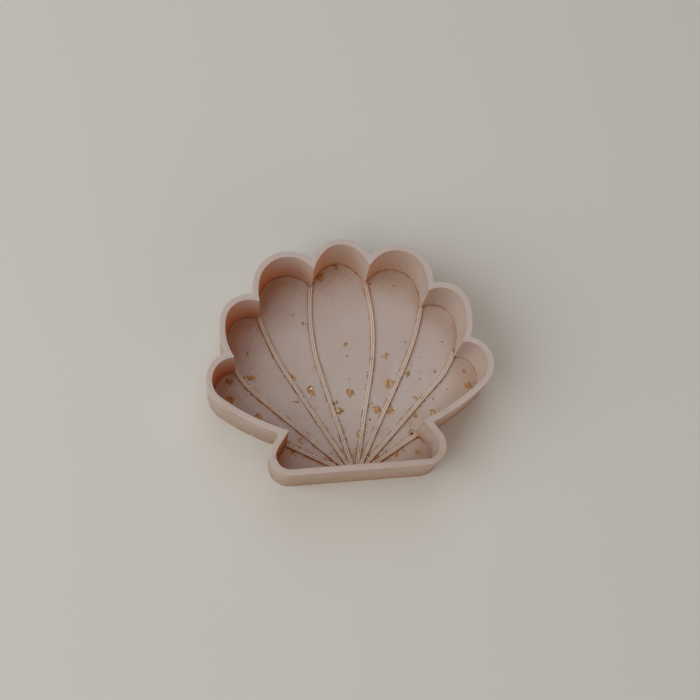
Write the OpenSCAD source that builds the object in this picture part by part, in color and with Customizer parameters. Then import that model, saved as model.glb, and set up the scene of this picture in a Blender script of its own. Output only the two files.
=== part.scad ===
// Sand mould in the shape of a scallop shell: an open tray with a flat floor, one
// upright wall of even thickness that follows seven lobes and a flared base, with a
// fine lip round its foot, and eight thin ribs fanned out over the floor.
//
// Millimetres. Z is up and the open side is up, as the mould lies. The middle lobe
// points to +Y and the straight bar of the base lies along -Y. The shell is mirror
// symmetric about X = 0, so the right half is drawn and then mirrored.
// The origin is the middle of the outline on the underside.

/* [Body] */
// Height from the underside to the rim
height = 25; // [16:0.5:40]
// Thickness of the floor plate
floor_t = 3; // [1.5:0.5:6]
// Thickness of the wall, the same all round
wall_t = 2.2; // [1.6:0.1:2.6]
// How far the lip round the foot of the wall stands out
foot_out = 0.25; // [0.1:0.05:0.3]
// Height of that lip, which is the first printed layer
foot_h = 0.3; // [0.2:0.05:0.5]

/* [Ribs] */
// Width of a rib, which is two printed lines side by side
rib_w = 1.4; // [0.8:0.1:2]
// Height of a rib above the floor
rib_h = 1; // [0.4:0.1:2]
// Distance of the point where the ribs meet, below the middle line
fan_y = 40.2; // [39.8:0.1:40.6]

/* [Crown lobe] */
// Distance of the tip arc's centre above the middle line
crown_y = 30.8; // [30.4:0.1:31.2]
// Radius of the tip arc
crown_r = 10.5; // [10.2:0.1:10.8]
// Radius of the flanks
crown_flank = 16; // [15:0.5:18]

/* [Shoulder lobes] */
// Distance of the tip arc's centre from the mirror plane
shoulder_x = 19.1; // [18.8:0.1:19.4]
// Distance of the tip arc's centre above the middle line
shoulder_y = 25.3; // [25:0.1:25.6]
// Radius of the tip arc
shoulder_r = 12.6; // [12.3:0.1:12.9]
// Radius of the flanks
shoulder_flank = 18.5; // [17.5:0.5:20]

/* [Side lobes] */
// Distance of the tip arc's centre from the mirror plane
side_x = 33.7; // [33.4:0.1:34]
// Distance of the tip arc's centre above the middle line
side_y = 12.8; // [12.5:0.1:13.1]
// Radius of the tip arc
side_r = 10.4; // [10.1:0.1:10.7]
// Radius of the flank towards the shoulder lobe
side_upper = 13; // [12.5:0.5:14]
// Radius of the flank towards the low lobe
side_flank = 21.5; // [20.5:0.5:23]

/* [Low lobes] */
// Distance of the tip arc's centre from the mirror plane
low_x = 40.1; // [39.8:0.1:40.4]
// Distance of the tip arc's centre below the middle line
low_y = 6.9; // [6.6:0.1:7.2]
// Radius of the tip arc
low_r = 9.9; // [9.6:0.1:10.2]
// Radius of the long edge that runs in to the neck
low_flank = 80; // [70:5:90]

/* [Base] */
// Distance of the ears' centres from the mirror plane
ear_x = 23.2; // [22.9:0.1:23.5]
// Distance of the ears' centres below the middle line
ear_y = 34.3; // [34:0.1:34.6]
// Radius of the ears
ear_r = 7; // [6.7:0.1:7.3]
// Lean of the ears' upper sides
ear_lean = 33; // [30:1:36]
// Radius of the ears' upper sides, which are nearly straight
ear_flank = 60; // [40:5:90]

/* [Corners] */
// Radius at the bottom of the outer notches between the lobes
notch_r = 0.6; // [0.4:0.1:0.8]
// Radius of the tips of the cusps inside
cusp_r = 0.3; // [0.2:0.1:0.5]

/* [Hidden] */

// Directions of the lobes' tips, and the half angle that each tip arc takes up
crown_dir = 90;      crown_half = 38;
shoulder_dir = 75;   shoulder_half = 55;
side_dir = 57;       side_half = 45;       side_upper_half = 37;
low_half = 50;
// The neck is where the low lobes' long edges meet the ears, and the wall is
// made in two lengths that meet on this level
neck_y = -26.4;
// Lean of each rib from +Y, its straight length, and the radius and sweep of the
// bend that takes the rest of it to its cusp. The ear's rib is straight.
rib_lean = [13.6, 29, 45.8, 60.6];
rib_straight = [38, 42, 46, 27.2];
rib_bend = [84, 104, 32, 40];
rib_sweep = [23.9, 14.6, 21.5, 1];
// How far a straight step may cut inside an arc
smooth = 0.01;

function dir(a) = [cos(a), sin(a)];
function angle_of(v) = atan2(v[1], v[0]);
function flip(list) = [for (i = [len(list) - 1:-1:0]) list[i]];
function mirrored(list) = [for (p = list) [-p[0], p[1]]];

// Points along an arc of radius r about c, from angle a0 to a1
function arc(c, r, a0, a1) =
    let (n = max(1, ceil(abs(a1 - a0) / (2 * acos(1 - smooth / r)))))
    [for (i = [0:n]) c + r * dir(a0 + (a1 - a0) * i / n)];

// Where two circles cross, on the left of the way from c0 to c1
function crossing(c0, r0, c1, r1) =
    let (d = norm(c1 - c0), u = (c1 - c0) / d, a = (d * d + r0 * r0 - r1 * r1) / (2 * d))
    c0 + a * u + sqrt(r0 * r0 - a * a) * [-u[1], u[0]];

// A lobe is [centre, tip radius, tip direction, half angle, flank radius]: a tip
// arc that runs on smoothly into a flank of a larger radius on each side
crown = [[0, crown_y], crown_r, crown_dir, crown_half, crown_flank];
shoulder = [[shoulder_x, shoulder_y], shoulder_r, shoulder_dir, shoulder_half, shoulder_flank];
side = [[side_x, side_y], side_r, side_dir, side_half, side_flank];
side_up = [[side_x, side_y], side_r, side_dir, side_upper_half, side_upper];
low = [[low_x, -low_y], low_r, 0, low_half, low_flank];
ear = [[ear_x, -ear_y], ear_r, 0, ear_lean, ear_flank];

// Centre of a lobe's flank, before the tip (s = 1) or after it (s = -1) on the
// way round clockwise
function flank_c(l, s) = l[0] - (l[4] - l[1]) * dir(l[2] + s * l[3]);

// Two flanks meet at a notch, which is rounded by a small circle that touches
// both. The same circle rounds the cusp inside, where the radii are smaller by t.
// Outside the outline, where t is below 0, it is smaller by as much.
function corner_r(t) = t > 0 ? cusp_r : notch_r + t;
function notch_c(c0, r0, c1, r1, t) =
    let (n = corner_r(t)) crossing(c0, r0 - t + n, c1, r1 - t + n);
function notch(c0, r0, c1, r1, t) =
    let (f = notch_c(c0, r0, c1, r1, t), n = corner_r(t))
    arc(f, n, angle_of(f - c0) + 180, angle_of(f - c1) + 180);

// The flank between a rounded notch and the lobe's tip arc
function flank_in(l, f, t) = let (c = flank_c(l, 1)) arc(c, l[4] - t, angle_of(f - c), l[2] + l[3]);
function flank_out(l, f, t) = let (c = flank_c(l, -1)) arc(c, l[4] - t, l[2] - l[3], angle_of(f - c));
function tip(l, t) = arc(l[0], l[1] - t, l[2] + l[3], l[2] - l[3]);

// The right half of the outline, clockwise from the crown to the bar, drawn in by t
function half_outline(t) = let (
        f1 = notch_c(flank_c(crown, -1), crown_flank, flank_c(shoulder, 1), shoulder_flank, t),
        f2 = notch_c(flank_c(shoulder, -1), shoulder_flank, flank_c(side_up, 1), side_upper, t),
        f3 = notch_c(flank_c(side, -1), side_flank, low[0], low_r, t),
        f4 = notch_c(flank_c(low, -1), low_flank, flank_c(ear, 1), ear_flank, t))
    concat(
        arc(crown[0], crown_r - t, 90, crown_dir - crown_half),
        flank_out(crown, f1, t),
        notch(flank_c(crown, -1), crown_flank, flank_c(shoulder, 1), shoulder_flank, t),
        flank_in(shoulder, f1, t), tip(shoulder, t), flank_out(shoulder, f2, t),
        notch(flank_c(shoulder, -1), shoulder_flank, flank_c(side_up, 1), side_upper, t),
        flank_in(side_up, f2, t),
        arc(side[0], side_r - t, side_dir + side_upper_half, side_dir - side_half),
        flank_out(side, f3, t),
        notch(flank_c(side, -1), side_flank, low[0], low_r, t),
        arc(low[0], low_r - t, angle_of(f3 - low[0]), -low_half), flank_out(low, f4, t),
        notch(flank_c(low, -1), low_flank, flank_c(ear, 1), ear_flank, t),
        flank_in(ear, f4, t),
        arc(ear[0], ear_r - t, ear_lean, -90));

// The whole outline, without points that fall on each other
function outline(t) = let (h = half_outline(t), all = concat(h, flip(mirrored(h))), n = len(all))
    [for (i = [0:n - 1]) if (norm(all[i] - all[(i + 1) % n]) > 0.001) all[i]];

// The wall, seen from above, standing out by o
module wall_plan(o) {
    difference() {
        polygon(outline(-o));
        polygon(outline(wall_t));
    }
}

// The length of the wall that lies between two levels of Y, with the lip at its foot
module wall(y0, y1) {
    linear_extrude(height) intersection() {
        wall_plan(0);
        translate([-60, y0]) square([120, y1 - y0]);
    }
    linear_extrude(foot_h) intersection() {
        wall_plan(foot_out);
        translate([-60, y0]) square([120, y1 - y0]);
    }
}

// One edge of a rib's strip, o to the right of its middle line: straight out of
// the fan's point, then a bend towards +Y
function rib_edge(i, o) =
    let (a = 90 - rib_lean[i], p = [0, -fan_y], q = p + rib_straight[i] * dir(a), r = rib_bend[i])
    concat([p + o * dir(a - 90)], arc(q - r * dir(a - 90), r + o, a - 90, a - 90 + rib_sweep[i]));

// A rib's share of the floor, bounded by the lines half-way to its neighbours
module rib_share(i) {
    lean0 = i == 0 ? 0 : (rib_lean[i - 1] + rib_lean[i]) / 2;
    lean1 = i == 3 ? 80 : (rib_lean[i] + rib_lean[i + 1]) / 2;
    translate([0, -fan_y]) polygon([[0, 0], 100 * dir(90 - lean0), 100 * dir(90 - lean1)]);
}

// One rib on the right, from the bar to its cusp
module rib(i) {
    color("#c5aca3") translate([0, 0, floor_t]) linear_extrude(rib_h) intersection() {
        polygon(concat(rib_edge(i, rib_w / 2), flip(rib_edge(i, -rib_w / 2))));
        rib_share(i);
        polygon(outline(wall_t));
    }
}

// The flat floor, inside the wall
module floor_plate() {
    color("#b79f95") linear_extrude(floor_t) polygon(outline(wall_t));
}

// The upright wall round the seven lobes, down to the neck
module scalloped_wall() {
    color("#c2aaa1") wall(neck_y, neck_y + 80);
}

// The upright wall of the base: both ears and the bar
module base_wall() {
    color("#bfa69d") wall(neck_y - 40, neck_y);
}

module rib_right_inner() { rib(0); }
module rib_left_inner() { mirror([1, 0, 0]) rib(0); }
module rib_right_middle() { rib(1); }
module rib_left_middle() { mirror([1, 0, 0]) rib(1); }
module rib_right_outer() { rib(2); }
module rib_left_outer() { mirror([1, 0, 0]) rib(2); }
module rib_right_ear() { rib(3); }
module rib_left_ear() { mirror([1, 0, 0]) rib(3); }

floor_plate();
scalloped_wall();
base_wall();
rib_left_inner();
rib_right_inner();
rib_left_middle();
rib_right_middle();
rib_left_outer();
rib_right_outer();
rib_left_ear();
rib_right_ear();
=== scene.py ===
import math
import random

import bpy
import numpy as np
from mathutils import Euler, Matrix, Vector
from mathutils.geometry import delaunay_2d_cdt


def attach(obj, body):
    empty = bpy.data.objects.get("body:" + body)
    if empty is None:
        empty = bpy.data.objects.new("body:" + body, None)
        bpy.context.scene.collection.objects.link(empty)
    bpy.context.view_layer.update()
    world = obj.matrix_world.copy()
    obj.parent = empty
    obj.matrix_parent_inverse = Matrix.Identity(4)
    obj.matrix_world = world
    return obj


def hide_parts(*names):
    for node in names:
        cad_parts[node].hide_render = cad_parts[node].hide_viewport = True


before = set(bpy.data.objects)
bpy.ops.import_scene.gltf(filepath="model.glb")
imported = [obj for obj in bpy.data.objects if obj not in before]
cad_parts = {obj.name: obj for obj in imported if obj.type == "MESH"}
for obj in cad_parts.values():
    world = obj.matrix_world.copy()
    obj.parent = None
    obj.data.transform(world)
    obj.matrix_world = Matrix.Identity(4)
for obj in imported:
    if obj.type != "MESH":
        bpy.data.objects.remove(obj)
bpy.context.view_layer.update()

# Sizes below are in millimetres, in the frame of the CAD model: Z up, the crown lobe
# to +Y, the bar along -Y, mirror symmetric about X = 0. Meshes are made in metres.
MM = 0.001
HEIGHT = 25.0
FLOOR = 3.0
WALL = 2.2
LAYER = 0.25
rnd = random.Random(7)


# ---------------------------------------------------------------- camera and light
scene = bpy.context.scene
cam_data = bpy.data.cameras.new("camera")
cam = bpy.data.objects.new("camera", cam_data)
scene.collection.objects.link(cam)
cam_data.sensor_width = 36.0
cam_data.lens = 36.0 * 1200 / 700
cam_data.clip_start = 0.01
cam_data.clip_end = 10
cam.location = (-0.04041, -0.09745, 0.42508)
cam.rotation_euler = Euler([math.radians(a) for a in (14.1654, -4.4983, -5.1654)], "XYZ")
scene.camera = cam


def soft_light(name, azimuth, elevation, size, power, colour):
    """A wide disk of light, 1.2 m from the mould, that shines on it from that side."""
    a, e = math.radians(azimuth), math.radians(elevation)
    way = Vector((math.cos(e) * math.cos(a), math.cos(e) * math.sin(a), math.sin(e)))
    data = bpy.data.lights.new(name, "AREA")
    data.shape = "DISK"
    data.size = size
    data.energy = power
    data.color = colour
    obj = bpy.data.objects.new(name, data)
    obj.location = way * 1.2 + Vector((0, 0, 0.01))
    obj.rotation_euler = way.to_track_quat("Z", "Y").to_euler()
    obj.visible_camera = False
    scene.collection.objects.link(obj)


soft_light("key", 193, 42, 1.30, 8.6, (0.96, 1.0, 1.0))
soft_light("back", 85, 50, 1.0, 2.4, (0.88, 1.0, 1.05))
soft_light("top", 0, 90, 0.9, 1.6, (1.0, 0.98, 0.94))
soft_light("glow", 305, 24, 0.9, 2.2, (1.0, 0.80, 0.66))

# A dim, warm world fills in the shade. The camera sees it as a pale wall.
world = bpy.data.worlds.new("world")
world.use_nodes = True
scene.world = world
sky = world.node_tree
fill = sky.nodes["Background"]
fill.inputs["Color"].default_value = (1.0, 0.92, 0.86, 1)
fill.inputs["Strength"].default_value = 0.15
wall = sky.nodes.new("ShaderNodeBackground")
wall.inputs["Color"].default_value = (0.56, 0.545, 0.525, 1)
seen = sky.nodes.new("ShaderNodeLightPath")
both = sky.nodes.new("ShaderNodeMixShader")
sky.links.new(seen.outputs["Is Camera Ray"], both.inputs[0])
sky.links.new(fill.outputs[0], both.inputs[1])
sky.links.new(wall.outputs[0], both.inputs[2])
sky.links.new(both.outputs[0], sky.nodes["World Output"].inputs["Surface"])


# ---------------------------------------------------------------- the outline
def ray(a):
    a = math.radians(a)
    return np.array([math.cos(a), math.sin(a)])


def angle_of(v):
    return math.degrees(math.atan2(v[1], v[0]))


def crossing(c0, r0, c1, r1):
    """Where two circles cross, on the left of the way from c0 to c1."""
    d = float(np.linalg.norm(c1 - c0))
    u = (c1 - c0) / d
    a = (d * d + r0 * r0 - r1 * r1) / (2 * d)
    return c0 + a * u + math.sqrt(r0 * r0 - a * a) * np.array([-u[1], u[0]])


# [centre, tip radius, tip direction, half angle, flank radius]. The side lobe's flank
# towards the shoulder lobe has values of its own.
CROWN = (np.array([0, 30.8]), 10.5, 90, 38, 16.0)
SHOULDER = (np.array([19.1, 25.3]), 12.6, 75, 55, 18.5)
SIDE = (np.array([33.7, 12.8]), 10.4, 57, 45, 21.5)
SIDE_UP = (SIDE[0], SIDE[1], SIDE[2], 37, 13.0)
LOW = (np.array([40.1, -6.9]), 9.9, 0, 50, 80.0)
EAR = (np.array([23.2, -34.3]), 7.0, 0, 33, 60.0)


def flank_c(l, s):
    return l[0] - (l[4] - l[1]) * ray(l[2] + s * l[3])


PAIRS = [
    (flank_c(CROWN, -1), CROWN[4], flank_c(SHOULDER, 1), SHOULDER[4]),
    (flank_c(SHOULDER, -1), SHOULDER[4], flank_c(SIDE_UP, 1), SIDE_UP[4]),
    (flank_c(SIDE, -1), SIDE[4], LOW[0], LOW[1]),
    (flank_c(LOW, -1), LOW[4], flank_c(EAR, 1), EAR[4]),
]


def half_arcs(t):
    """The arcs of the right half, drawn in by t, clockwise from the crown to the bar,
    each as (centre, radius, first angle, last angle, kind)."""
    n = 0.6 - 0.3 * t / WALL if t > 0 else 0.6 + t
    f = [crossing(c0, r0 - t + n, c1, r1 - t + n) for c0, r0, c1, r1 in PAIRS]

    def turn(a, b):
        return a + (b - a + 180) % 360 - 180

    def notch(i):
        a = angle_of(f[i] - PAIRS[i][0]) + 180
        return (f[i], n, a, turn(a, angle_of(f[i] - PAIRS[i][2]) + 180), "notch")

    def flank_in(l, i):
        c = flank_c(l, 1)
        a = angle_of(f[i] - c)
        return (c, l[4] - t, a, turn(a, l[2] + l[3]), "flank")

    def flank_out(l, i):
        c = flank_c(l, -1)
        a = l[2] - l[3]
        return (c, l[4] - t, a, turn(a, angle_of(f[i] - c)), "flank")

    def tip(l):
        return (l[0], l[1] - t, l[2] + l[3], l[2] - l[3], "tip")

    return [
        (CROWN[0], CROWN[1] - t, 90, CROWN[2] - CROWN[3], "tip"),
        flank_out(CROWN, 0), notch(0), flank_in(SHOULDER, 0), tip(SHOULDER), flank_out(SHOULDER, 1),
        notch(1), flank_in(SIDE_UP, 1), (SIDE[0], SIDE[1] - t, SIDE[2] + SIDE_UP[3], SIDE[2] - SIDE[3], "tip"), flank_out(SIDE, 2),
        notch(2), (LOW[0], LOW[1] - t, angle_of(f[2] - LOW[0]), -LOW[3], "tip"), flank_out(LOW, 3),
        notch(3), flank_in(EAR, 3), (EAR[0], EAR[1] - t, EAR[3], -90, "tip"),
    ]


# The same number of steps along each arc whatever t is, so that outlines drawn in by
# different amounts join up point to point
STEPS = []
for c, r, a0, a1, kind in half_arcs(0.0):
    length = r * math.radians(abs(a1 - a0))
    STEPS.append(4 if kind == "notch" else max(3, round(length / (1.05 if kind == "tip" else 1.35))))
BAR_STEPS = 9
BAR_Y = EAR[0][1] - EAR[1]


def half_outline(t):
    pts = []
    for (c, r, a0, a1, _), n in zip(half_arcs(t), STEPS):
        a = np.radians(np.linspace(a0, a1, n + 1)[(1 if pts else 0):])
        pts.extend(np.stack([c[0] + r * np.cos(a), c[1] + r * np.sin(a)], 1))
    x_end = pts[-1][0]
    for i in range(1, BAR_STEPS + 1):
        pts.append(np.array([x_end * (1 - i / BAR_STEPS), BAR_Y + t]))
    out = np.array(pts)
    out[0, 0] = out[-1, 0] = 0.0
    return out


def outline(t):
    """The whole outline drawn in by t, clockwise from the crown's tip, as an (n, 2) array."""
    h = half_outline(t)
    return np.vstack([h, (h * [-1, 1])[-2:0:-1]])


HALF = len(half_outline(0.0))
COUNT = 2 * HALF - 2
NECK = sum(STEPS[:13]) + STEPS[13] // 2
NECK_LEFT = COUNT - NECK


def inward(t):
    """Unit normals of the outline drawn in by t, pointing into the tray."""
    p = outline(t)
    d = np.roll(p, -1, 0) - np.roll(p, 1, 0)
    n = np.stack([d[:, 1], -d[:, 0]], 1)
    return n / np.linalg.norm(n, axis=1)[:, None]


# ---------------------------------------------------------------- mesh helpers
def mesh_object(name, verts, faces, smooth=True, material=None):
    me = bpy.data.meshes.new(name)
    me.from_pydata([tuple(v * MM for v in p) for p in verts], [], faces)
    me.validate()
    me.update()
    if smooth:
        me.polygons.foreach_set("use_smooth", [True] * len(me.polygons))
    obj = bpy.data.objects.new(name, me)
    scene.collection.objects.link(obj)
    if material:
        me.materials.append(material)
    return obj


def grid_faces(rows, cols, close_rows=False, close_cols=False):
    """Quads of a grid of vertices numbered row by row."""
    out = []
    for r in range(rows if close_rows else rows - 1):
        a, b = r * cols, ((r + 1) % rows) * cols
        for c in range(cols if close_cols else cols - 1):
            d = (c + 1) % cols
            out.append((a + c, a + d, b + d, b + c))
    return out


# ---------------------------------------------------------------- materials
def node(tree, kind, **values):
    n = tree.nodes.new(kind)
    for k, v in values.items():
        if k.startswith("in_"):
            n.inputs[k[3:].replace("_", " ")].default_value = v
        else:
            setattr(n, k, v)
    return n


def math_node(tree, op, a, b=None, clamp=False):
    n = tree.nodes.new("ShaderNodeMath")
    n.operation = op
    n.use_clamp = clamp
    for i, v in enumerate((a, b)):
        if v is None:
            continue
        if isinstance(v, (int, float)):
            n.inputs[i].default_value = v
        else:
            tree.links.new(v, n.inputs[i])
    return n.outputs[0]


def ramp(tree, fac, lo, hi, out_lo=0.0, out_hi=1.0):
    n = tree.nodes.new("ShaderNodeMapRange")
    n.interpolation_type = "SMOOTHSTEP"
    n.inputs["From Min"].default_value = lo
    n.inputs["From Max"].default_value = hi
    n.inputs["To Min"].default_value = out_lo
    n.inputs["To Max"].default_value = out_hi
    tree.links.new(fac, n.inputs["Value"])
    return n.outputs["Result"]


def mix(tree, fac, a, b, blend="MIX"):
    n = tree.nodes.new("ShaderNodeMix")
    n.data_type = "RGBA"
    n.blend_type = blend
    ins = {"Factor": n.inputs[0], "A": n.inputs[6], "B": n.inputs[7]}
    for key, v in (("Factor", fac), ("A", a), ("B", b)):
        if isinstance(v, (int, float)):
            ins[key].default_value = v
        elif isinstance(v, tuple):
            ins[key].default_value = (*v, 1)
        else:
            tree.links.new(v, ins[key])
    return n.outputs[2]


def printed_plastic(name, tone, layered=False, grit=1.0, dusty=0.0, through=0.0, patches=False):
    """Matte dusty pink plastic that has lain in sand. tone is its colour, layered adds
    the small changes of tone from one printed layer to the next, grit says how many
    grains stick to it, dusty how much dirt and fine sand there is on its lower half, and
    through how much painted glow, a redder colour standing in for light come through the
    plastic, its +X faces show, with painted shade on the walls turned away from the light.
    With patches, grains also stick to it in small patches."""
    m = bpy.data.materials.new(name)
    m.use_nodes = True
    t = m.node_tree
    t.nodes.clear()
    out = node(t, "ShaderNodeOutputMaterial")
    shader = node(t, "ShaderNodeBsdfPrincipled")
    t.links.new(shader.outputs[0], out.inputs["Surface"])
    coord = node(t, "ShaderNodeTexCoord").outputs["Object"]
    place = node(t, "ShaderNodeSeparateXYZ")
    t.links.new(coord, place.inputs[0])

    def noise(scale, detail=2.0, vec=coord, rough=0.5):
        n = node(t, "ShaderNodeTexNoise", in_Scale=scale, in_Detail=detail, in_Roughness=rough)
        t.links.new(vec, n.inputs["Vector"])
        return n.outputs["Fac"]

    def shade(k, warm=0.0):
        return (tone[0] * k, tone[1] * k * (1 - warm), tone[2] * k * (1 - 1.6 * warm))

    # broad and fine changes of tone in the plastic
    colour = mix(t, ramp(t, noise(45, 2), 0.3, 0.7), shade(0.97, 0.015), shade(1.03))
    colour = mix(t, ramp(t, noise(1400, 3), 0.35, 0.7, 0, 0.2), colour, shade(0.82, 0.05))
    if layered:
        # painted shade: the top layer, which is one continuous face, is coloured a little cooler and darker than the
        # sides, to even out the greater light that falls on it
        face = node(t, "ShaderNodeSeparateXYZ")
        t.links.new(node(t, "ShaderNodeTexCoord").outputs["Normal"], face.inputs[0])
        top = ramp(t, face.outputs["Z"], 0.5, 0.9)
        colour = mix(t, top, colour, (0.574, 0.483, 0.452))
        if through:
            # painted glow: +X faces, most of all low down, are coloured redder as if lit by light come through the
            # plastic
            shine = math_node(t, "MULTIPLY", ramp(t, face.outputs["X"], 0.02, 0.92), ramp(t, place.outputs["Z"], 0.025, 0.006, 0.65, 1.0))
            colour = mix(t, math_node(t, "MULTIPLY", shine, through), colour, (1.0, 0.60, 0.47), "MULTIPLY")
            # painted shade: the walls beyond the middle that face -Y or +X are coloured redder and darker towards the
            # left lobes, most of all low down, and painted light makes them a little lighter towards the right
            turned = math_node(t, "MAXIMUM", math_node(t, "MULTIPLY", face.outputs["Y"], -1.0), face.outputs["X"])
            turned = math_node(t, "MULTIPLY", ramp(t, turned, 0.15, 0.75), ramp(t, place.outputs["Z"], 0.025, 0.005, 0.05, 1.0))
            turned = math_node(t, "MULTIPLY", turned, math_node(t, "SUBTRACT", 1.0, top))
            turned = math_node(t, "MULTIPLY", turned, ramp(t, place.outputs["X"], 0.036, 0.022))
            colour = mix(t, turned, colour, mix(t, ramp(t, place.outputs["X"], 0.020, -0.038), (1.15, 1.06, 0.93), (0.93, 0.69, 0.61)), "MULTIPLY")
            # painted shade: the +X faces in the left lobes are coloured redder still
            turned = math_node(t, "MULTIPLY", ramp(t, face.outputs["X"], 0.35, 1.0), ramp(t, place.outputs["X"], -0.006, -0.036))
            colour = mix(t, turned, colour, (1.0, 0.76, 0.69), "MULTIPLY")
        squash = node(t, "ShaderNodeMapping")
        squash.inputs["Scale"].default_value = (12, 12, 2600)
        t.links.new(coord, squash.inputs["Vector"])
        bands = noise(1.0, 1, squash.outputs["Vector"])
        colour = mix(t, ramp(t, bands, 0.35, 0.7, 0, 0.28), colour, shade(0.84, 0.05))

    # damp dust and painted shade in the creases and printed grooves, most of it on the side towards the bar
    def shut_in(reach, lean=None):
        n = node(t, "ShaderNodeAmbientOcclusion", samples=8, only_local=False)
        n.inputs["Distance"].default_value = reach
        if lean:
            t.links.new(node(t, "ShaderNodeCombineXYZ", in_X=lean[0], in_Y=lean[1], in_Z=lean[2]).outputs[0], n.inputs["Normal"])
        return math_node(t, "SUBTRACT", 1.0, n.outputs["AO"], True)

    pit = ramp(t, shut_in(0.0005), 0.12, 0.55)
    colour = mix(t, math_node(t, "MULTIPLY", pit, 0.45 if layered else 0.3), colour, (0.40, 0.235, 0.155))
    # painted shade: a mask of surfaces shut in towards +Y, which darkens the bar-facing sides of the ribs and the walls
    # that face the bar
    behind = shut_in(0.0010, (0.08, 0.85, 0.53))
    patchy = noise(260, 3, rough=0.6)
    hidden = ramp(t, behind, 0.55, 0.92) if layered else ramp(t, behind, 0.36, 0.70)
    dust_and_shade = math_node(t, "MULTIPLY", hidden, ramp(t, patchy, 0.36, 0.62, 0.30, 1.0))
    colour = mix(t, math_node(t, "MULTIPLY", dust_and_shade, 0.40 if layered else 0.55), colour, (0.42, 0.205, 0.12))

    # more of it gathers towards the bar and in the lobes on the right, in loose patches
    low = ramp(t, place.outputs["Y"], 0.022, -0.034)
    patch = ramp(t, noise(105, 3, rough=0.55), 0.55, 0.72)
    film = math_node(t, "MULTIPLY", patch, math_node(t, "ADD", math_node(t, "MULTIPLY", low, 0.26), 0.06))
    if layered:
        foot = math_node(t, "MULTIPLY", ramp(t, place.outputs["Z"], 0.027, 0.0, 0.0, dusty), ramp(t, noise(420, 3), 0.35, 0.65, 0.7, 1.0))
        film = math_node(t, "ADD", film, math_node(t, "ADD", math_node(t, "MULTIPLY", patch, math_node(t, "MULTIPLY", low, 0.12)), foot))
        bar = math_node(t, "MULTIPLY", ramp(t, place.outputs["Y"], -0.020, -0.032), ramp(t, place.outputs["X"], -0.020, 0.030, 0.15, 0.50))
        film = math_node(t, "ADD", film, math_node(t, "MULTIPLY", bar, top))
    else:
        corner = ramp(t, shut_in(0.012), 0.06, 0.42)
        sides = math_node(t, "ADD", ramp(t, place.outputs["X"], 0.004, 0.032), ramp(t, place.outputs["Y"], -0.024, -0.034), True)
        sides = math_node(t, "MULTIPLY", sides, ramp(t, noise(70, 2), 0.3, 0.6, 0.5, 1.0))
        film = math_node(t, "ADD", film, math_node(t, "MULTIPLY", math_node(t, "MULTIPLY", corner, sides), 0.4))
        # painted shade: the floor close to the walls in the upper half is coloured darker and redder towards the left
        # lobes, and a little warmer on the right
        edge = math_node(t, "MULTIPLY", ramp(t, shut_in(0.007), 0.10, 0.40), ramp(t, place.outputs["Y"], -0.005, 0.007))
        edge = math_node(t, "MULTIPLY", edge, ramp(t, place.outputs["X"], 0.036, 0.022))
        colour = mix(t, edge, colour, mix(t, ramp(t, place.outputs["X"], 0.020, -0.040), (1.03, 0.95, 0.86), (0.76, 0.67, 0.64)), "MULTIPLY")
    colour = mix(t, math_node(t, "MULTIPLY", film, grit), colour, (0.42, 0.26, 0.16))

    # stains and fine grains of sand that stick to the plastic
    warp = node(t, "ShaderNodeTexNoise", in_Scale=1500, in_Detail=1.0)
    t.links.new(coord, warp.inputs["Vector"])
    bent = node(t, "ShaderNodeVectorMath", operation="MULTIPLY_ADD")
    t.links.new(warp.outputs["Color"], bent.inputs[0])
    bent.inputs[1].default_value = (0.0006, 0.0006, 0.0006)
    t.links.new(coord, bent.inputs[2])
    crease = ramp(t, shut_in(0.0016), 0.20, 0.38)
    some = math_node(t, "ADD", math_node(t, "MULTIPLY", low, 0.03), 0.006)
    some = math_node(t, "MULTIPLY", some, ramp(t, patchy, 0.40, 0.60, 0.3, 1.6))
    share = math_node(t, "ADD", math_node(t, "MULTIPLY", crease, math_node(t, "ADD", math_node(t, "MULTIPLY", low, 0.25), 0.06)), some)
    wet = math_node(t, "MULTIPLY", ramp(t, noise(330, 3, bent.outputs[0], 0.6), 0.52, 0.60), math_node(t, "MULTIPLY", crease, math_node(t, "ADD", math_node(t, "MULTIPLY", low, 0.45), 0.55)))
    colour = mix(t, math_node(t, "MULTIPLY", wet, 0.5 if layered else 0.95), colour, (0.33, 0.135, 0.055))

    def spots(scale, share, edge, soft, tints):
        """Spots in a cell pattern: how much of each place they cover, and their colour."""
        cells = node(t, "ShaderNodeTexVoronoi", in_Scale=scale)
        t.links.new(bent.outputs[0], cells.inputs["Vector"])
        draw = node(t, "ShaderNodeSeparateColor")
        t.links.new(cells.outputs["Color"], draw.inputs[0])
        chosen = math_node(t, "LESS_THAN", draw.outputs[0], math_node(t, "MULTIPLY", share, grit))
        kinds = node(t, "ShaderNodeValToRGB")
        kinds.color_ramp.interpolation = "CONSTANT"
        stops = kinds.color_ramp.elements
        for i, (at, tint) in enumerate(tints):
            e = stops[i] if i < 2 else stops.new(at)
            e.position, e.color = at, (*tint, 1)
        t.links.new(draw.outputs[1], kinds.inputs[0])
        return math_node(t, "MULTIPLY", chosen, ramp(t, cells.outputs["Distance"], edge, soft)), kinds.outputs[0]

    ragged = ramp(t, noise(2400, 2), 0.36, 0.62, 0.15, 0.85)
    stain, tint = spots(430, share, 0.55, 0.10, ((0.0, (0.48, 0.24, 0.11)), (0.45, (0.52, 0.33, 0.19)), (0.8, (0.42, 0.19, 0.085))))
    colour = mix(t, math_node(t, "MULTIPLY", stain, ragged), colour, tint)
    sand = ((0.0, (0.46, 0.215, 0.09)), (0.36, (0.56, 0.42, 0.27)), (0.66, (0.33, 0.14, 0.06)), (0.78, (0.42, 0.24, 0.12)), (0.92, (0.76, 0.72, 0.66)), (0.965, (0.04, 0.026, 0.02)))
    grain, tint = spots(820, share, 0.42, 0.26, sand)
    colour = mix(t, grain, colour, tint)
    if dusty:
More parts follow.
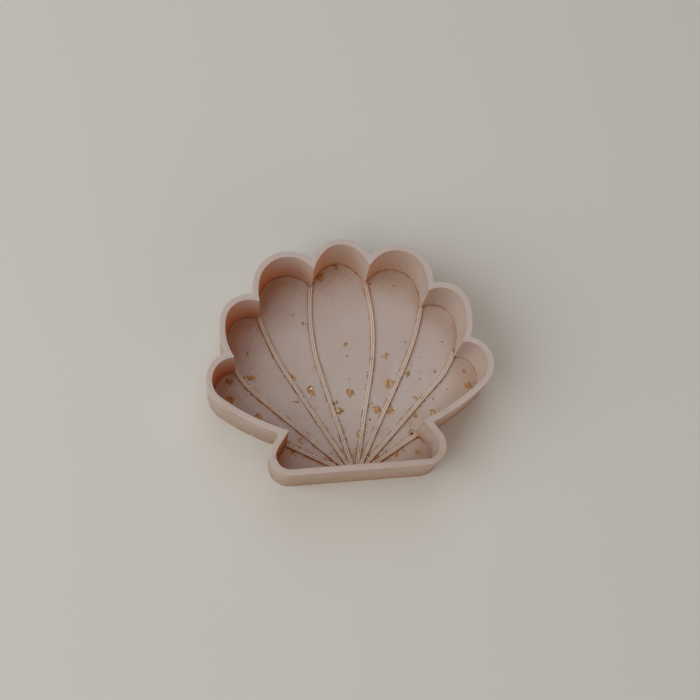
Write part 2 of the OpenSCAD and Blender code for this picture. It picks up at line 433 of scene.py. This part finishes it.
        # fine sand clings to the outside of the base
        cling = math_node(t, "MULTIPLY", ramp(t, place.outputs["Y"], -0.014, -0.034), ramp(t, noise(190, 2), 0.38, 0.62, 0.35, 1.0))
        cling = math_node(t, "MULTIPLY", cling, ramp(t, place.outputs["Z"], 0.025, 0.006, 0.06, 0.42))
        fine_sand, tint = spots(1750, cling, 0.66, 0.30, sand)
        colour = mix(t, math_node(t, "MULTIPLY", fine_sand, 0.6), colour, tint)
        grain = math_node(t, "MAXIMUM", grain, math_node(t, "MULTIPLY", fine_sand, 0.4))
    if patches:
        def heaps(scale, share, small, big):
            """Small round heaps in a cell pattern, with uneven edges."""
            cells = node(t, "ShaderNodeTexVoronoi", in_Scale=scale, in_Randomness=0.9)
            cells.voronoi_dimensions = "2D"
            t.links.new(coord, cells.inputs["Vector"])
            draw = node(t, "ShaderNodeSeparateColor")
            t.links.new(cells.outputs["Color"], draw.inputs[0])
            reach = ramp(t, draw.outputs[1], 0.0, 1.0, small, big)
            reach = math_node(t, "ADD", reach, math_node(t, "MULTIPLY", math_node(t, "SUBTRACT", noise(520, 3), 0.5), 0.62))
            within = ramp(t, math_node(t, "SUBTRACT", reach, cells.outputs["Distance"]), 0.0, 0.05)
            return math_node(t, "MULTIPLY", math_node(t, "LESS_THAN", draw.outputs[0], share), within)

        mound = heaps(140, math_node(t, "ADD", math_node(t, "MULTIPLY", low, 0.50), 0.16), 0.10, 0.27)
        beside = heaps(300, math_node(t, "ADD", math_node(t, "MULTIPLY", low, 0.70), 0.20), 0.22, 0.42)
        mound = math_node(t, "MAXIMUM", mound, math_node(t, "MULTIPLY", beside, ramp(t, crease, 0.02, 0.25)))
        colour = mix(t, math_node(t, "MULTIPLY", mound, 0.85), colour, mix(t, ramp(t, noise(1300, 2), 0.35, 0.65), (0.34, 0.145, 0.05), (0.60, 0.40, 0.22)))
        many, tint = spots(1150, math_node(t, "MULTIPLY", mound, 0.9), 0.66, 0.46, sand)
        colour = mix(t, many, colour, tint)
        grain = math_node(t, "MAXIMUM", math_node(t, "MAXIMUM", grain, many), math_node(t, "MULTIPLY", mound, 0.5))

    t.links.new(colour, shader.inputs["Base Color"])
    rough = ramp(t, noise(500, 2), 0.3, 0.7, 0.50, 0.66)
    t.links.new(rough, shader.inputs["Roughness"])
    shader.inputs["Specular IOR Level"].default_value = 0.4
    shader.inputs["Subsurface Weight"].default_value = 0.3
    shader.inputs["Subsurface Radius"].default_value = (1.0, 0.36, 0.22)
    shader.inputs["Subsurface Scale"].default_value = 0.0018

    fine = node(t, "ShaderNodeBump", in_Strength=0.35, in_Distance=0.00004)
    t.links.new(noise(3800, 3), fine.inputs["Height"])
    coarse = node(t, "ShaderNodeBump", in_Strength=0.8, in_Distance=0.0002)
    t.links.new(grain, coarse.inputs["Height"])
    t.links.new(fine.outputs[0], coarse.inputs["Normal"])
    t.links.new(coarse.outputs[0], shader.inputs["Normal"])
    return m


# The inside of the wall gets a lighter tone than the outside, painted light on the inside and painted shade on the
# outside, and the ribs get a lighter tone than the floor, painted light on their beads
WALL_MAT = printed_plastic("printed_wall", (0.65, 0.525, 0.47), layered=True, grit=0.5, through=0.85)
OUT_MAT = printed_plastic("printed_outside", (0.60, 0.48, 0.43), layered=True, grit=0.7, dusty=0.75)
RIB_MAT = printed_plastic("printed_rib", (0.70, 0.58, 0.515), grit=0.6)
FLOOR_MAT = printed_plastic("printed_floor", (0.58, 0.485, 0.45), patches=True)


# ---------------------------------------------------------------- the wall
def wall_rows():
    """The wall's section, as rows of (inset, height, side): up the outside, over the rim,
    down the inside and back along the underside. side is the layer number on the two
    faces and None elsewhere."""
    # the first layer is pressed out into a fine lip round the foot
    rows = [(-0.12, 0.0, None), (-0.205, 0.03, None), (-0.24, 0.09, None), (-0.24, 0.18, None), (-0.20, 0.25, None), (-0.10, 0.285, None), (0.08, 0.30, None)]
    layers = round(HEIGHT / LAYER)
    drift = [0.012 * math.sin(k * 0.37) + rnd.uniform(-0.012, 0.012) + (0.03 if rnd.random() < 0.07 else 0) for k in range(layers)]
    for k in range(1, layers - 1):
        rows.append((0.09 + drift[k], (k + 0.5) * LAYER, k))
        rows.append((0.135 + drift[k], (k + 1) * LAYER, k))
    rows.append((0.10, HEIGHT - 0.13, None))
    rows.append((0.16, HEIGHT - 0.035, None))
    # five printed lines side by side on the rim
    edges = [0.10, 0.51, 0.92, 1.33, 1.75, 2.17]
    grooves = [0.035, 0.045, 0.04, 0.085]
    for i in range(5):
        a, b = edges[i], edges[i + 1]
        m, q = (a + b) / 2, (b - a) * 0.3
        top = HEIGHT - (0.0, 0.012, 0.006, 0.014, 0.004)[i]
        rows += [(m - q, top - 0.008, None), (m, top, None), (m + q, top - 0.008, None)]
        if i < 4:
            rows.append((b, top - grooves[i], None))
    rows.append((2.14, HEIGHT - 0.035, None))
    rows.append((2.19, HEIGHT - 0.13, None))
    for k in range(layers - 2, round(FLOOR / LAYER) - 1, -1):
        rows.append((2.155 - drift[k], (k + 1) * LAYER, -k))
        rows.append((2.20 - drift[k], (k + 0.5) * LAYER, -k))
    rows += [(2.12, FLOOR - 0.1, None), (2.10, 0.2, None), (2.08, 0.02, None)]
    for t in (1.70, 1.28, 0.86, 0.44):
        rows += [(t + 0.18, 0.0, None), (t, 0.03, None)]
    rows.append((0.22, 0.0, None))
    return rows


ROWS = wall_rows()
cache = {}


def ring(t, z, layer):
    """One row of the wall, all the way round, as an (n, 3) array."""
    base = -0.2 if t < 0 else 0.1 if t < 0.6 else 2.2 if t > 1.9 else round(t, 2)
    if base not in cache:
        cache[base] = (outline(base), inward(base))
    p, n = cache[base]
    shift = np.full(COUNT, t - base)
    if layer is not None:
        # each layer starts and ends in the left neck, where it leaves a small blob
        r = random.Random(layer * 31 + 5)
        if layer > 0:
            shift[NECK_LEFT] -= r.uniform(0.0, 0.10)
        # slow waver along the layer
        s = np.arange(COUNT) / COUNT * 2 * math.pi
        shift += 0.010 * np.sin(s * r.randint(3, 9) + r.uniform(0, 6.28)) + 0.006 * np.sin(s * r.randint(17, 40) + r.uniform(0, 6.28))
    p = p + n * shift[:, None]
    return np.column_stack([p, np.full(COUNT, z)])


GRID = np.stack([ring(*row) for row in ROWS])  # rows, columns, xyz


def grid_normals(p):
    """Smooth normals of a grid that is closed both ways."""
    right, down = np.roll(p, -1, 1), np.roll(p, -1, 0)
    face = np.cross(np.roll(right, -1, 0) - p, down - right)
    face /= np.maximum(np.linalg.norm(face, axis=2), 1e-9)[:, :, None]
    n = face + np.roll(face, 1, 0)
    n = n + np.roll(n, 1, 1)
    return n / np.maximum(np.linalg.norm(n, axis=2), 1e-9)[:, :, None]


NORMALS = grid_normals(GRID)


def wall_piece(name, columns):
    """A length of the wall over these columns, closed at both ends by flat caps. Its
    normals are those of the whole wall, so that the two lengths meet without a seam."""
    part = GRID[:, columns]
    rows, cols = part.shape[:2]
    side = rows * cols
    faces = grid_faces(rows, cols, close_rows=True)
    faces.append(tuple(side + r for r in range(rows)))
    faces.append(tuple(side + rows + r for r in reversed(range(rows))))
    verts = np.concatenate([part.reshape(-1, 3), part[:, 0], part[:, -1]])
    obj = mesh_object(name, verts, faces, material=WALL_MAT)
    # the rows up to the rim's outer edge are the outside, which is dustier and has a darker tone as painted shade
    obj.data.materials.append(OUT_MAT)
    outside = next(i for i, row in enumerate(ROWS) if row[1] > HEIGHT - 0.2) * (cols - 1)
    for face in obj.data.polygons[:outside]:
        face.material_index = 1
    caps = [tuple(obj.data.polygons[i].normal) for i in (-2, -1)]
    normals = [tuple(n) for n in NORMALS[:, columns].reshape(-1, 3)] + [caps[0]] * rows + [caps[1]] * rows
    obj.data.normals_split_custom_set_from_vertices(normals)
    return obj


lobes = wall_piece("printed_scalloped_wall", [c % COUNT for c in range(NECK_LEFT, COUNT + NECK + 1)])
base = wall_piece("printed_base_wall", list(range(NECK, NECK_LEFT + 1)))


# ---------------------------------------------------------------- the floor
def scan(poly, slope, offset):
    """Where the line through the polygon in direction slope, at that offset to its left,
    is inside it: pairs of distances along the line."""
    u, v = slope, np.array([-slope[1], slope[0]])
    a, b = poly @ v - offset, np.roll(poly, -1, 0) @ v - offset
    hit = (a < 0) != (b < 0)
    s = a[hit] / (a[hit] - b[hit])
    pu, qu = poly @ u, np.roll(poly, -1, 0) @ u
    cuts = np.sort(pu[hit] + s * (qu[hit] - pu[hit]))
    return list(zip(cuts[::2], cuts[1::2]))


def lee(points):
    """1 close behind the wall on the crown's left and 0 from 16 mm behind it: the lines
    of the floor are drawn less evenly there."""
    p = np.array(points)
    way = ray(152)
    a, b = outline(2.7), np.roll(outline(2.7), -1, 0)
    edge = b - a
    cross = edge[:, 0] * way[1] - edge[:, 1] * way[0]
    near = np.full(len(p), 99.0)
    for (ax, ay), (ex, ey), c in zip(a, edge, cross):
        if abs(c) < 1e-9:
            continue
        dx, dy = ax - p[:, 0], ay - p[:, 1]
        s = (ex * dy - ey * dx) / c
        k = (way[0] * dy - way[1] * dx) / c
        hit = (k >= 0) & (k <= 1) & (s > -0.01)
        near[hit] = np.minimum(near[hit], s[hit])
    f = np.clip((16.0 - near) / 12.0, 0, 1)
    return f * f * (3 - 2 * f)


def raster(rings, angle, profile, reach, step, top=None):
    """A sheet inside nested outlines. rings are (inset, height), from the outside in.
    Inside the last of them run straight printed lines in that direction; profile is
    their section, as (offset, height) all the way across. With top, the section's depth
    below that height varies over the floor. Returns vertices and faces."""
    pts, edges, heights = [], [], []
    for t, z in rings:
        p = outline(t)
        first = len(pts)
        pts += [tuple(q) for q in p]
        heights += [z] * len(p)
        edges += [(first + i, first + (i + 1) % len(p)) for i in range(len(p))]
    inner = outline(rings[-1][0])
    u = ray(angle)
    v = np.array([-u[1], u[0]])
    for off, z in profile:
        for a, b in scan(inner, u, off):
            if b - a < 0.02:
                continue
            n = max(1, round((b - a) / step))
            first = len(pts)
            for i in range(n + 1):
                q = u * (a + (b - a) * i / n) + v * off
                pts.append(tuple(q))
                heights.append(z if 0 < i < n else rings[-1][1])
            edges += [(first + i, first + i + 1) for i in range(n)]
    if top is not None:
        first = len(rings) * COUNT
        ear = np.clip((np.array(pts[first:])[:, 1] + 26) / 8, 0, 1)
        right = np.clip((np.array(pts[first:])[:, 0] - 22) / 8, 0, 1)
        deep = (0.27 + 1.6 * lee(pts[first:]) * ear) * (1 - 0.6 * right)
        for i, d in enumerate(deep, first):
            heights[i] = top - (top - heights[i]) * d
    count = COUNT
    hull = [tuple(range(count))]
    verts, _, faces, origin, _, _ = delaunay_2d_cdt([Vector(p) for p in pts], edges, hull, 1, 1e-5)
    out = []
    for p, o in zip(verts, origin):
        z = heights[o[0]] if o else rings[-1][1]
        out.append((p.x, p.y, z))
    # the outermost ring's vertices, in order
    where = {}
    for i, o in enumerate(origin):
        for k in o:
            where[k] = i
    return out, [tuple(f) for f in faces], [where[k] for k in range(count)]


def line_profile(width, top, groove, seed):
    """Section of printed lines of that width. Every second groove is deeper."""
    r = random.Random(seed)
    rows, off, k = [], -64.0, 0
    while off < 64.0:
        w = width * r.uniform(0.96, 1.04)
        crest = top - r.uniform(0.0, 0.012)
        deep = groove * (r.uniform(0.6, 1.5) if k % 2 else r.uniform(0.1, 0.5))
        rows += [(off, top - deep), (off + w * 0.17, crest - 0.12 * groove), (off + w * 0.5, crest), (off + w * 0.83, crest - 0.12 * groove)]
        off += w
        k += 1
    return rows


def floor_piece():
    top_v, top_f, top_ring = raster(
        [(1.9, FLOOR - 0.02), (2.2, FLOOR - 0.03), (2.32, FLOOR - 0.012), (2.5, FLOOR), (2.66, FLOOR - 0.015), (2.76, FLOOR - 0.075)],
        45, line_profile(0.515, FLOOR, 0.16, 3), 64, 3.0, top=FLOOR)
    low_v, low_f, low_ring = raster(
        [(2.12, 0.012), (2.2, 0.0), (2.5, 0.0), (2.62, 0.03)],
        -45, [(o, 0.03 - (z - 0.97)) for o, z in line_profile(0.45, 1.0, 0.03, 4)][::2], 64, 8.0)
    verts = list(top_v)
    faces = [f[::-1] if up(top_v, f) < 0 else f for f in top_f]
    n0 = len(verts)
    verts += [(x, y, max(0.0, z)) for x, y, z in low_v]
    for f in low_f:
        g = f[::-1] if up(low_v, f) > 0 else f
        faces.append(tuple(i + n0 for i in g))
    # the edge, which lies inside the wall
    side = outline(1.9)
    mid = []
    for z in (FLOOR - 0.4, 0.3):
        mid.append(range(len(verts), len(verts) + COUNT))
        verts += [(*q, z) for q in side]
    loops = [top_ring, list(mid[0]), list(mid[1]), [i + n0 for i in low_ring]]
    for a, b in zip(loops, loops[1:]):
        for i in range(COUNT):
            j = (i + 1) % COUNT
            faces.append((a[i], a[j], b[j], b[i]))
    return mesh_object("printed_floor", verts, faces, material=FLOOR_MAT)


def up(verts, f):
    a, b, c = (verts[i] for i in f[:3])
    return (b[0] - a[0]) * (c[1] - a[1]) - (b[1] - a[1]) * (c[0] - a[0])


floor = floor_piece()


# ---------------------------------------------------------------- the ribs
FAN = np.array([0, -40.2])
RIB_LEAN = (13.6, 29, 45.8, 60.6)
RIB_STRAIGHT = (38, 42, 46, 27.2)
RIB_BEND = (84, 104, 32, 40)
RIB_SWEEP = (23.9, 14.6, 21.5, 1)


def rib_path(i, step=0.8):
    """Middle line of a rib on the right as (points, normals to the right), which starts
    in the bar and ends a little way into its cusp."""
    past = 0.1 if i == 3 else 1.2
    a = 90 - RIB_LEAN[i]
    u = ray(a)
    line = [FAN + u * s for s in np.arange(0.3, RIB_STRAIGHT[i], step)]
    side = [ray(a - 90)] * len(line)
    r = RIB_BEND[i]
    c = FAN + u * RIB_STRAIGHT[i] - r * ray(a - 90)
    sweep = math.radians(RIB_SWEEP[i]) + past / r
    n = max(2, round(r * sweep / step))
    for k in range(n + 1):
        b = a - 90 + math.degrees(sweep) * k / n
        line.append(c + r * ray(b))
        side.append(ray(b))
    return np.array(line), np.array(side)


def rib_section():
    """Two printed lines side by side, four layers high: (offset, height above the floor)."""
    right = [(0.0, 0.72), (0.06, 0.86), (0.16, 0.965), (0.34, 1.0), (0.50, 0.97), (0.61, 0.89), (0.665, 0.80)]
    for k in (3, 2, 1, 0):
        right += [(0.655, k * 0.25), (0.69, (k - 0.5) * 0.25)]
    left = [(-x, z) for x, z in right[:0:-1]]
    return left + right


def rib_piece(name, i, mirror):
    line, side = rib_path(i)
    section = rib_section()
    r = random.Random(i * 2 + mirror)
    verts = []
    k1, k2 = r.uniform(0, 6), r.uniform(0, 6)
    for j, (p, s) in enumerate(zip(line, side)):
        wave = 0.018 * math.sin(j * 0.21 + k1) + 0.010 * math.sin(j * 0.83 + k2)
        for x, z in section:
            q = p + s * (x + wave)
            h = z + (0.012 * math.sin(j * 0.5 + k2 + (2 if x > 0 else 0)) if z > 0.7 else 0) - (0.012 if z > 0.7 else 0)
            verts.append(((-q[0] if mirror else q[0]), q[1], FLOOR + h))
    rows, cols = len(line), len(section)
    faces = grid_faces(rows, cols, close_cols=True)
    faces.append(tuple(reversed(range(cols))))
    faces.append(tuple((rows - 1) * cols + c for c in range(cols)))
    if not mirror:
        faces = [f[::-1] for f in faces]
    return mesh_object(name, verts, faces, material=RIB_MAT)


ribs = {}
for i, word in enumerate(("inner", "middle", "outer", "ear")):
    for mirror, hand in ((False, "right"), (True, "left")):
        ribs[f"rib_{hand}_{word}"] = rib_piece(f"printed_rib_{hand}_{word}", i, mirror)


# ---------------------------------------------------------------- riding on the frame
for piece, name in [(lobes, "scalloped_wall"), (base, "base_wall"), (floor, "floor_plate")] + [(p, n) for n, p in ribs.items()]:
    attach(piece, "root")
    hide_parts(name)


# ---------------------------------------------------------------- the studio floor
ground_mesh = bpy.data.meshes.new("ground")
ground_mesh.from_pydata([(-3, -3, 0), (3, -3, 0), (3, 3, 0), (-3, 3, 0)], [], [(0, 1, 2, 3)])
ground = bpy.data.objects.new("ground", ground_mesh)
ground.location = (0, 0, -0.00003)
scene.collection.objects.link(ground)
pale = bpy.data.materials.new("pale_floor")
pale.use_nodes = True
pale.node_tree.nodes["Principled BSDF"].inputs["Base Color"].default_value = (0.70, 0.665, 0.62, 1)
pale.node_tree.nodes["Principled BSDF"].inputs["Roughness"].default_value = 0.9
# far from the mould, past the reach of the lights, it fades into the pale wall
away = node(pale.node_tree, "ShaderNodeVectorMath", operation="LENGTH")
pale.node_tree.links.new(node(pale.node_tree, "ShaderNodeTexCoord").outputs["Object"], away.inputs[0])
far = node(pale.node_tree, "ShaderNodeEmission", in_Color=(0.56, 0.545, 0.525, 1))
fade = node(pale.node_tree, "ShaderNodeMixShader")
pale.node_tree.links.new(ramp(pale.node_tree, away.outputs["Value"], 0.40, 1.20), fade.inputs[0])
pale.node_tree.links.new(pale.node_tree.nodes["Principled BSDF"].outputs[0], fade.inputs[1])
pale.node_tree.links.new(far.outputs[0], fade.inputs[2])
pale.node_tree.links.new(fade.outputs[0], pale.node_tree.nodes["Material Output"].inputs["Surface"])
ground_mesh.materials.append(pale)

# A little warmth in the darkest tones
scene.view_settings.view_transform = "Standard"
scene.view_settings.use_curve_mapping = True
curves = scene.view_settings.curve_mapping
for i, bend in enumerate((((0.10, 0.113), (0.22, 0.226)), ((0.06, 0.047), (0.10, 0.089), (0.20, 0.194)), ((0.05, 0.030), (0.09, 0.076), (0.18, 0.170)))):
    for at, value in (*bend, (0.45, 0.45)):
        curves.curves[i].points.new(at, value)
curves.update()
